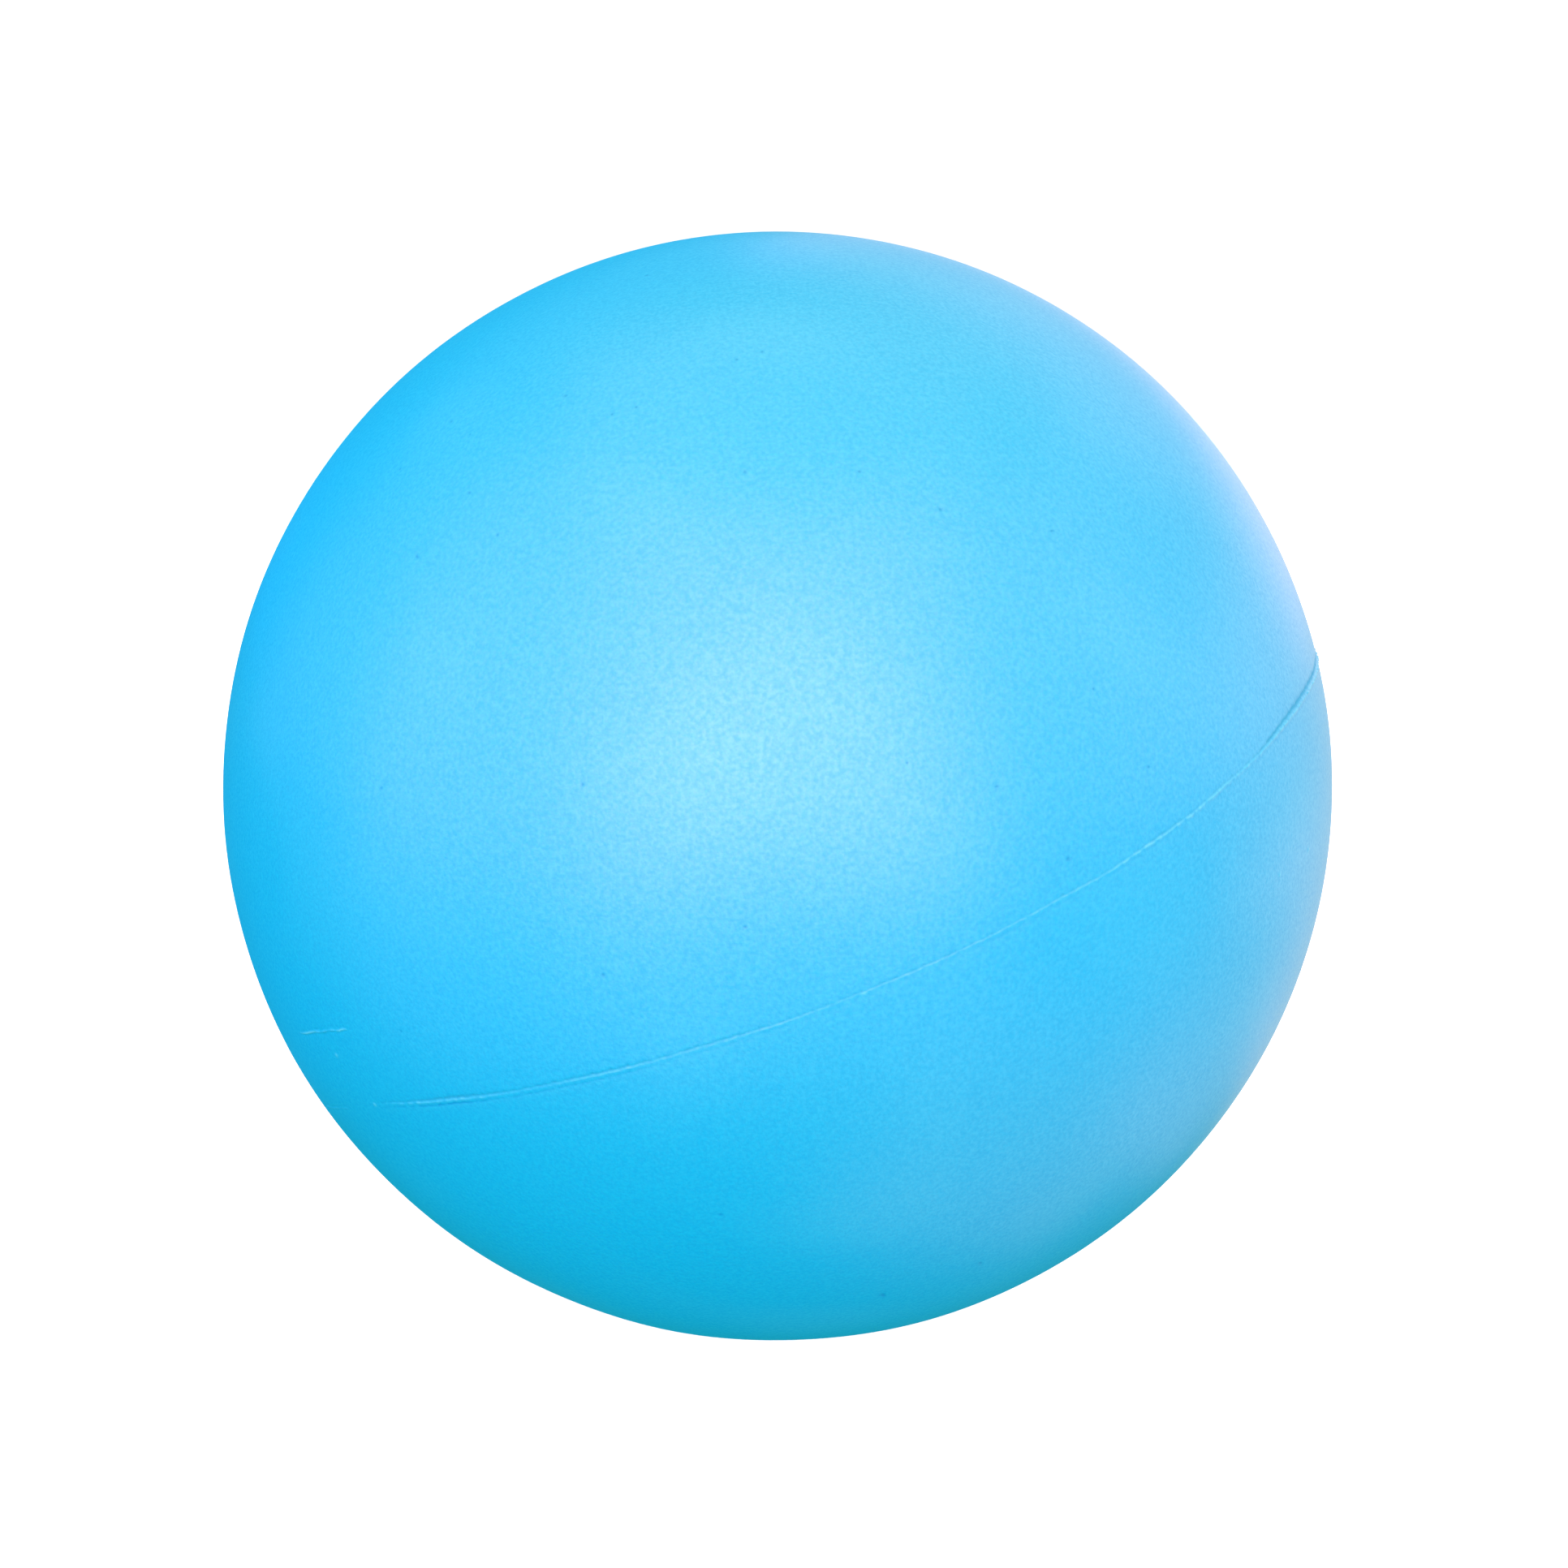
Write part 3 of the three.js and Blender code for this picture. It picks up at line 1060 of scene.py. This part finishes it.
class NodeNet:
    """A material's node tree, with a method for each kind of node that the finishes use."""

    def __init__(self, tree: bpy.types.NodeTree) -> None:
        """Keeps the tree and its lists."""
        self.nodes = tree.nodes
        self.links = tree.links

    def link(self, source: bpy.types.NodeSocket, target: bpy.types.NodeSocket) -> None:
        """Joins an output to an input."""
        self.links.new(source, target)

    def feed(self, value: Colour | float, target: bpy.types.NodeSocket) -> None:
        """Joins an output to an input, or sets the input to a plain colour or number.

        Args:
            value: the output, colour or number.
            target: the input.
        """
        if isinstance(value, tuple):
            target.default_value = (*value, 1.0)
        elif isinstance(value, float):
            target.default_value = value
        else:
            self.link(value, target)

    def mask(self, mask: Mask) -> bpy.types.NodeSocket:
        """Reads one of the mesh's masks.

        Args:
            mask: which one.

        Returns:
            The mask's value.
        """
        node = self.nodes.new("ShaderNodeAttribute")
        node.attribute_name = mask.value
        return node.outputs["Fac"]

    def worked_out(self, operation: str, first: Number, second: Number) -> bpy.types.NodeSocket:
        """Works out one value from two.

        Args:
            operation: Blender's name for what is done.
            first: one value.
            second: the other.

        Returns:
            The result.
        """
        node = self.nodes.new("ShaderNodeMath")
        node.operation = operation
        self.feed(first, node.inputs[0])
        self.feed(second, node.inputs[1])
        return node.outputs[0]

    def added(self, first: Number, second: Number) -> bpy.types.NodeSocket:
        """Adds two values."""
        return self.worked_out("ADD", first, second)

    def multiplied(self, first: Number, second: Number) -> bpy.types.NodeSocket:
        """Multiplies two values."""
        return self.worked_out("MULTIPLY", first, second)

    def ranged(
        self, value: bpy.types.NodeSocket, low: float, high: float, start: float = 0.0, end: float = 1.0
    ) -> bpy.types.NodeSocket:
        """Runs evenly from low to high while the value runs from start to end, and stays level beyond.

        Args:
            value: what is followed.
            low: the result at the start.
            high: the result at the end.
            start: where the value starts to count.
            end: where it stops.

        Returns:
            The result.
        """
        node = self.nodes.new("ShaderNodeMapRange")
        node.inputs["From Min"].default_value = start
        node.inputs["From Max"].default_value = end
        node.inputs["To Min"].default_value = low
        node.inputs["To Max"].default_value = high
        self.link(value, node.inputs["Value"])
        return node.outputs["Result"]

    def mix(self, first: Colour, second: Colour, share: bpy.types.NodeSocket) -> bpy.types.NodeSocket:
        """Mixes two colours.

        Args:
            first: the colour at a share of 0.
            second: the colour at a share of 1.
            share: how much of the second is taken.

        Returns:
            The mixed colour.
        """
        node = self.nodes.new("ShaderNodeMix")
        node.data_type = "RGBA"
        self.link(share, node.inputs["Factor"])
        colours = [socket for socket in node.inputs if socket.type == "RGBA"]
        self.feed(first, colours[0])
        self.feed(second, colours[1])
        return next(socket for socket in node.outputs if socket.type == "RGBA")

    def grain(self, size_mm: float, detail: float) -> bpy.types.Node:
        """Places the satin grain group.

        Args:
            size_mm: how large its blobs are.
            detail: how many finer layers of noise they have.

        Returns:
            The group's node.
        """
        node = self.nodes.new("ShaderNodeGroup")
        node.node_tree = satin_grain()
        node.inputs["Scale"].default_value = 1.0 / (size_mm * MM)
        node.inputs["Detail"].default_value = detail
        return node


def satin_grain() -> bpy.types.NodeTree:
    """The node group for a satin surface's soft irregular blobs, made once.

    Inputs are Scale, in blobs to the metre, and Detail. Height is the plain noise, and Tone the same noise
    with its middle range stretched from 0 to 1.

    Returns:
        The node group.
    """
    if GRAIN_GROUP in bpy.data.node_groups:
        return bpy.data.node_groups[GRAIN_GROUP]
    tree = bpy.data.node_groups.new(GRAIN_GROUP, "ShaderNodeTree")
    for socket, usual in (("Scale", 1.0), ("Detail", 2.0)):
        made = tree.interface.new_socket(socket, in_out="INPUT", socket_type="NodeSocketFloat")
        made.default_value = usual
    for socket in ("Height", "Tone"):
        tree.interface.new_socket(socket, in_out="OUTPUT", socket_type="NodeSocketFloat")
    inside, outside = tree.nodes.new("NodeGroupInput"), tree.nodes.new("NodeGroupOutput")
    place = tree.nodes.new("ShaderNodeTexCoord")
    noise = tree.nodes.new("ShaderNodeTexNoise")
    stretch = tree.nodes.new("ShaderNodeMapRange")
    stretch.inputs["From Min"].default_value, stretch.inputs["From Max"].default_value = GRAIN_MIDDLE
    tree.links.new(place.outputs["Object"], noise.inputs["Vector"])
    tree.links.new(inside.outputs["Scale"], noise.inputs["Scale"])
    tree.links.new(inside.outputs["Detail"], noise.inputs["Detail"])
    tree.links.new(noise.outputs["Fac"], outside.inputs["Height"])
    tree.links.new(noise.outputs["Fac"], stretch.inputs["Value"])
    tree.links.new(stretch.outputs["Result"], outside.inputs["Tone"])
    return tree


@dataclass(frozen=True)
class LacrosseBall:
    """The ball: one solid piece of rubber, with everything that the mould left on its surface."""

    centre: np.ndarray
    radius_mm: float
    parting: PartingFrame = field(default_factory=PartingFrame)
    rings: RingStack = field(default_factory=RingStack)
    mark_mesh: MarkMesh = field(default_factory=MarkMesh)
    line: PartingLine = field(default_factory=PartingLine)
    scratches: tuple[Scratch, ...] = (
        Scratch(
            left_x_px=369, left_y_px=1272, right_x_px=396, right_y_px=1271,
            rise_mm=0.053, lumps=1.2, highlight_paleness=3.6,
        ),
        Scratch(
            left_x_px=388, left_y_px=1270.5, right_x_px=415, right_y_px=1269.5,
            rise_mm=0.042, lumps=3.0, highlight_paleness=1.0,
        ),
        Scratch(
            left_x_px=413, left_y_px=1269, right_x_px=428, right_y_px=1268.5,
            rise_mm=0.036, lumps=1.0, highlight_paleness=3.2,
        ),
        Scratch(
            left_x_px=402, left_y_px=1362, right_x_px=431, right_y_px=1366,
            rise_mm=0.012, highlight_paleness=0.5,
        ),
    )
    specks: Specks = field(default_factory=Specks)
    finish: RubberFinish = field(default_factory=RubberFinish)
    swell_mm: float = 0.008  # how far the surface swells and sinks over a wavelength
    swell_wavelength_mm: float = 11.0
    bloom_wavelength_mm: float = 9.0  # of the soft pale patches all over the rubber
    bloom_gain: float = 0.5
    bloom_threshold: float = 0.25  # how much of the waves stays below the surface's bloom
    bloom_haze: float = 0.5
    seed: int = 3

    def surface(self, camera: PhotoCamera) -> tuple[np.ndarray, np.ndarray, dict[Mask, np.ndarray]]:
        """Works out the ball's surface.

        The ring stack is bent to follow the wandering parting line and divided more finely round the
        marks. Then each point stands at the radius plus the sum of the heights of the flash, scratches,
        specks and slow swell, in its direction from the centre.

        Args:
            camera: the photograph's camera, which places the marks.

        Returns:
            The points in metres, the triangles, and the masks.
        """
        offset, longitude, triangles = self.rings.build(self.radius_mm)
        knots = self.line.knots(camera, self.parting, self.radius_mm)
        line_height, shift, masks = self.line.shape(knots, offset, longitude)
        directions = self.parting.directions(np.degrees((offset + shift) / self.radius_mm), longitude)

        scratch_marks = [scratch.mark(camera, self.radius_mm) for scratch in self.scratches]
        speck_marks = self.specks.marks(camera, self.parting, self.radius_mm)
        marks = scratch_marks + [mark for mark, _ in speck_marks]
        values = np.stack([line_height, *masks.values()], axis=1)
        directions, values, triangles = self.mark_mesh.refine(
            marks, directions, values, triangles, self.radius_mm
        )
        height, *kept = values.T
        masks = dict(zip(masks, kept))

        # each scratch's crest mask carries its painted highlight
        for scratch, mark in zip(self.scratches, scratch_marks):
            rise, crest = scratch.shape(mark, directions, self.radius_mm)
            height = height + rise
            masks[Mask.CREST] = np.maximum(masks[Mask.CREST], crest)
        speck_height, speck_masks = self.specks.shape(speck_marks, directions, self.radius_mm)
        # the crumbs' painted highlights and the pits' painted shade join the line's masks
        masks[Mask.CREST] = np.maximum(masks[Mask.CREST], speck_masks[Mask.CREST])
        masks[Mask.HOLLOW_SHADE] = np.maximum(masks[Mask.HOLLOW_SHADE], speck_masks[Mask.HOLLOW_SHADE])

        rng = np.random.default_rng(self.seed)
        spots_mm = directions * self.radius_mm
        swell = self.swell_mm * waves_in_space(spots_mm, self.swell_wavelength_mm, rng)
        waves = waves_in_space(spots_mm, self.bloom_wavelength_mm, rng)
        bloom = np.clip(self.bloom_gain * waves - self.bloom_threshold, 0.0, 1.0)
        masks[Mask.HAZE] = np.clip(masks[Mask.HAZE] + self.bloom_haze * bloom, 0.0, 1.0)
        reach = self.radius_mm + height + speck_height + swell
        return self.centre + directions * reach[:, None] * MM, triangles, masks

    def build(self, camera: PhotoCamera) -> bpy.types.Object:
        """Makes the ball's mesh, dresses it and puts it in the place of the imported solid.

        Args:
            camera: the photograph's camera, which places the marks.

        Returns:
            The ball's object.
        """
        points, triangles, masks = self.surface(camera)
        mesh = bpy.data.meshes.new("rubber_ball_surface")
        mesh.from_pydata(points, [], triangles)
        mesh.polygons.foreach_set("use_smooth", np.ones(len(triangles), dtype=bool))
        for mask, values in masks.items():
            attribute = mesh.attributes.new(mask.value, "FLOAT", "POINT")
            attribute.data.foreach_set("value", values.astype(np.float32))
        mesh.materials.append(self.finish.build())
        mesh.update()
        piece = bpy.data.objects.new("rubber_ball_surface", mesh)
        bpy.context.scene.collection.objects.link(piece)
        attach(piece, BALL_BODY)
        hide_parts(BALL_NODE)
        log.info("%s: %d points, %d triangles", piece.name, len(points), len(triangles))
        return piece


class Tint(Enum):
    """The colours of the studio's lamps, each with 1 for its strongest primary."""

    KEY = (1.0, 0.75, 0.6)
    WARM = (1.0, 0.32, 0.1)
    PINK = (1.0, 0.55, 0.5)
    LILAC = (1.0, 0.55, 0.95)
    COOL = (0.4, 0.35, 1.0)
    BLUE = (0.0, 0.2, 1.0)


@dataclass(frozen=True)
class Softbox:
    """A square lamp with an even face, turned to the ball and seen only by its light."""

    name: str
    tint: Tint
    azimuth_deg: float  # 0 stands before the ball, on the viewer's side, and 90 on the right
    elevation_deg: float
    side: float
    radiance: float
    distance: float = 0.6

    def build(self, target: np.ndarray) -> bpy.types.Object:
        """Makes the lamp and turns it to its target.

        Args:
            target: the place that it lights.

        Returns:
            The lamp's object.
        """
        azimuth, elevation = np.radians(self.azimuth_deg), np.radians(self.elevation_deg)
        flat = np.cos(elevation)
        back = np.array([flat * np.sin(azimuth), -flat * np.cos(azimuth), np.sin(elevation)])
        data = bpy.data.lights.new(self.name, "AREA")
        data.shape = "RECTANGLE"
        data.size, data.size_y = self.side, self.side
        data.color = self.tint.value
        data.energy = self.radiance * np.pi * self.side**2
        lamp = bpy.data.objects.new(self.name, data)
        lamp.location = Vector(target + back * self.distance)
        lamp.rotation_euler = Vector(-back).to_track_quat("-Z", "Y").to_euler()
        lamp.visible_camera = False
        bpy.context.scene.collection.objects.link(lamp)
        return lamp


@dataclass(frozen=True)
class Studio:
    """The plain pale floor, the surroundings and the soft lamps."""

    floor_radius: float = 3.0
    floor_sides: int = 96
    floor_finish: FloorFinish = field(default_factory=FloorFinish)
    surroundings: tuple[float, float, float] = (0.0, 0.35, 0.25)  # dim light from all round
    backdrop_glow: float = 1.1  # what the camera sees behind the ball, a little over white
    lamps: tuple[Softbox, ...] = (
        Softbox("front_key", Tint.KEY, azimuth_deg=2, elevation_deg=26, side=0.45, radiance=2.05),
        Softbox("front_left_low", Tint.COOL, azimuth_deg=-45, elevation_deg=0, side=0.9, radiance=0.9),
        Softbox("front_left", Tint.WARM, azimuth_deg=-45, elevation_deg=30, side=0.9, radiance=1.1),
        Softbox("front_low", Tint.PINK, azimuth_deg=0, elevation_deg=0, side=0.9, radiance=0.65),
        Softbox("front", Tint.WARM, azimuth_deg=0, elevation_deg=30, side=0.9, radiance=1.05),
        Softbox("front_right_low", Tint.BLUE, azimuth_deg=45, elevation_deg=0, side=0.9, radiance=0.7),
        Softbox("front_right", Tint.WARM, azimuth_deg=45, elevation_deg=30, side=0.9, radiance=0.85),
        Softbox("left", Tint.COOL, azimuth_deg=-90, elevation_deg=25, side=0.6, radiance=0.85),
        Softbox("left_rim", Tint.BLUE, azimuth_deg=-120, elevation_deg=-10, side=0.6, radiance=0.3),
        Softbox("back_left", Tint.BLUE, azimuth_deg=-150, elevation_deg=25, side=0.6, radiance=0.6),
        Softbox("back_left_high", Tint.LILAC, azimuth_deg=-150, elevation_deg=60, side=0.6, radiance=0.2),
        Softbox("top", Tint.PINK, azimuth_deg=0, elevation_deg=85, side=0.7, radiance=1.05),
        Softbox("right_below", Tint.WARM, azimuth_deg=60, elevation_deg=-45, side=0.6, radiance=0.6),
        Softbox("right", Tint.LILAC, azimuth_deg=90, elevation_deg=25, side=0.6, radiance=0.7),
        Softbox("right_rim", Tint.PINK, azimuth_deg=105, elevation_deg=0, side=0.4, radiance=0.8),
        Softbox("right_rim_low", Tint.PINK, azimuth_deg=105, elevation_deg=-30, side=0.4, radiance=0.7),
        Softbox("back_right", Tint.LILAC, azimuth_deg=150, elevation_deg=25, side=0.6, radiance=0.8),
        Softbox("back_right_high", Tint.PINK, azimuth_deg=135, elevation_deg=45, side=0.4, radiance=0.3),
        Softbox("back_right_low", Tint.PINK, azimuth_deg=150, elevation_deg=-10, side=0.6, radiance=1.0),
    )

    def build_floor(self, height: float) -> bpy.types.Object:
        """Makes the floor disc, which only the camera sees, so that it throws no light on the ball.

        Args:
            height: the floor's height, at the ball's lowest point.

        Returns:
            The floor object.
        """
        turns = np.arange(self.floor_sides) * (2.0 * np.pi / self.floor_sides)
        rim = np.stack([np.cos(turns), np.sin(turns)], axis=1) * self.floor_radius
        points = np.column_stack([rim, np.full(self.floor_sides, height)])
        mesh = bpy.data.meshes.new("studio_floor")
        mesh.from_pydata(points, [], [tuple(range(self.floor_sides))])
        mesh.materials.append(self.floor_finish.build())
        floor = bpy.data.objects.new("studio_floor", mesh)
        floor.visible_diffuse = False
        floor.visible_glossy = False
        bpy.context.scene.collection.objects.link(floor)
        return floor

    def build_surroundings(self) -> bpy.types.World:
        """Makes a world that is white to the camera and sends the ball a dim light from all round.

        Returns:
            The world.
        """
        world = bpy.data.worlds.new("studio")
        world.use_nodes = True
        nodes, links = world.node_tree.nodes, world.node_tree.links
        seen, around = nodes["Background"], nodes.new("ShaderNodeBackground")
        seen.inputs["Color"].default_value = (1.0, 1.0, 1.0, 1.0)
        seen.inputs["Strength"].default_value = self.backdrop_glow
        around.inputs["Color"].default_value = (*self.surroundings, 1.0)
        path, mix = nodes.new("ShaderNodeLightPath"), nodes.new("ShaderNodeMixShader")
        links.new(path.outputs["Is Camera Ray"], mix.inputs["Fac"])
        links.new(around.outputs["Background"], mix.inputs[1])
        links.new(seen.outputs["Background"], mix.inputs[2])
        links.new(mix.outputs["Shader"], nodes["World Output"].inputs["Surface"])
        bpy.context.scene.world = world
        return world

    def build(self, ball: LacrosseBall) -> None:
        """Makes the floor under the ball, the surroundings and the lamps.

        Args:
            ball: the ball that they are for.
        """
        self.build_floor(float(ball.centre[2]) - ball.radius_mm * MM)
        self.build_surroundings()
        for lamp in self.lamps:
            lamp.build(ball.centre)
        bpy.context.scene.view_settings.view_transform = "Standard"
        log.info("studio: %d lamps", len(self.lamps))


def ball_from_frame() -> LacrosseBall:
    """Reads the ball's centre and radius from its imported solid, whose height is the ball's diameter."""
    low, high = (np.array(corner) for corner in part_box(BALL_NODE))
    return LacrosseBall(centre=(low + high) / 2.0, radius_mm=float(high[2] - low[2]) / 2.0 / MM)


def main() -> None:
    """Builds the camera, the ball and the studio."""
    logging.basicConfig(level=logging.INFO, format="%(name)s: %(message)s")
    camera = PhotoCamera()
    ball = ball_from_frame()
    camera.build(ball.centre, ball.radius_mm * MM)
    ball.build(camera)
    Studio().build(ball)


if __name__ == "__main__":
    main()
